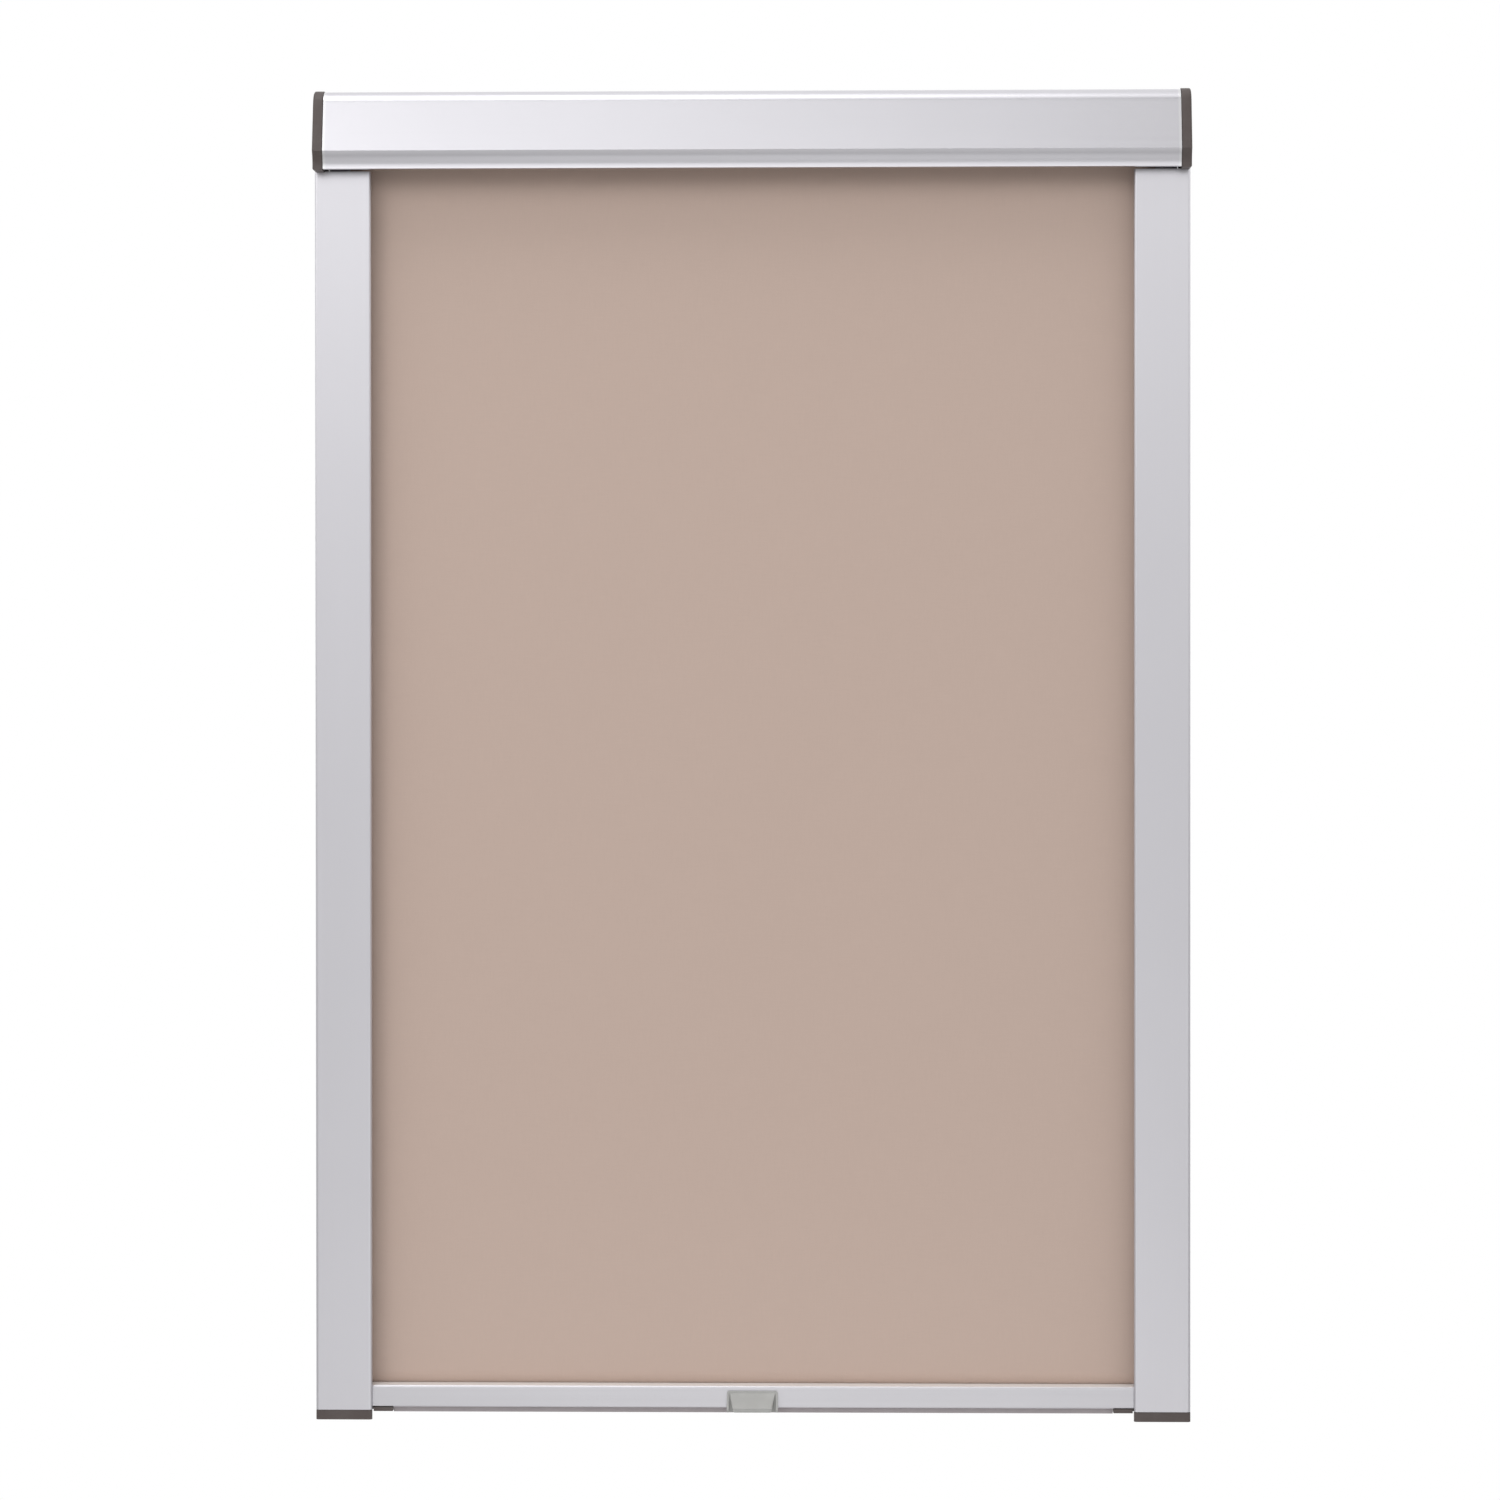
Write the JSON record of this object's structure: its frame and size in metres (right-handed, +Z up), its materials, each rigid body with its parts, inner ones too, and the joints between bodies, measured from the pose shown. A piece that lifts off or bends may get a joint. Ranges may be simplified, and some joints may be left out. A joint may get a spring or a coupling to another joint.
{
  "type": "skylight window blind",
  "caption": "Spring-roller blackout blind for a roof window: metal headbox, side rails, beige fabric and a sliding pull bar with a grip.",
  "frame": {"origin": "on the headbox's flat back face, midway along it and 27 mm above its lower edge", "axes": "+Z up the window, +Y out through the glass (the room is at -Y), +X to the right seen from the room"},
  "size_m": [0.613, 0.0448, 0.932],
  "materials": {
    "anodised_aluminium": "satin, anodised",
    "dark_plastic": "moulded, brown-grey",
    "grey_plastic": "moulded, mid grey",
    "white_plastic": "moulded, off white",
    "steel": "zinc plated",
    "beige_fabric": "fine weave, matt",
    "grey_rubber": "soft, matt",
    "grey_felt": "felt"
  },
  "bodies": {
    "root": {"headbox_shell": "anodised_aluminium", "headbox_cap_left": "dark_plastic", "headbox_cap_right": "dark_plastic", "cap_screw_left_front": "steel", "cap_screw_left_back": "steel", "cap_screw_right_front": "steel", "cap_screw_right_back": "steel", "sash_bracket_left": "steel", "sash_bracket_right": "steel", "side_rail_left": "anodised_aluminium", "side_rail_right": "anodised_aluminium", "rail_foot_left": "dark_plastic", "rail_foot_right": "dark_plastic", "idle_bush": "white_plastic", "spring_shaft": "steel", "spring_anchor": "steel", "torsion_spring": "steel", "blackout_fabric": "beige_fabric"},
    "roller": {"roller_tube": "anodised_aluminium", "idle_plug": "white_plastic", "idle_pin": "steel", "bearing_plug": "white_plastic", "fabric_lock_strip": "white_plastic", "fabric_roll": "beige_fabric", "spring_driver": "white_plastic"},
    "bar": {"pull_bar": "anodised_aluminium", "hem_rod": "steel", "fabric_hem": "beige_fabric", "bar_seal": "grey_rubber", "bar_slider_left": "dark_plastic", "bar_slider_right": "dark_plastic", "brake_spring_left": "steel", "brake_spring_right": "steel", "brake_pad_left": "grey_felt", "brake_pad_right": "grey_felt", "pull_grip": "grey_plastic"}
  },
  "joints": [
    {"name": "bar_slide", "type": "slide", "parent": "root", "child": "bar", "axis": [0, 0, 1], "range_m": [0, 0.845], "deforming": ["blackout_fabric"]},
    {"name": "roller_spin", "type": "hinge", "parent": "root", "child": "roller", "pos_m": [0, -0.02267, 0.004], "axis": [1, 0, 0], "range_deg": [0, 3965]}
  ],
  "couplings": [
    {"joint": "roller_spin", "follows": "bar_slide", "rad_per_m": 81.8}
  ]
}
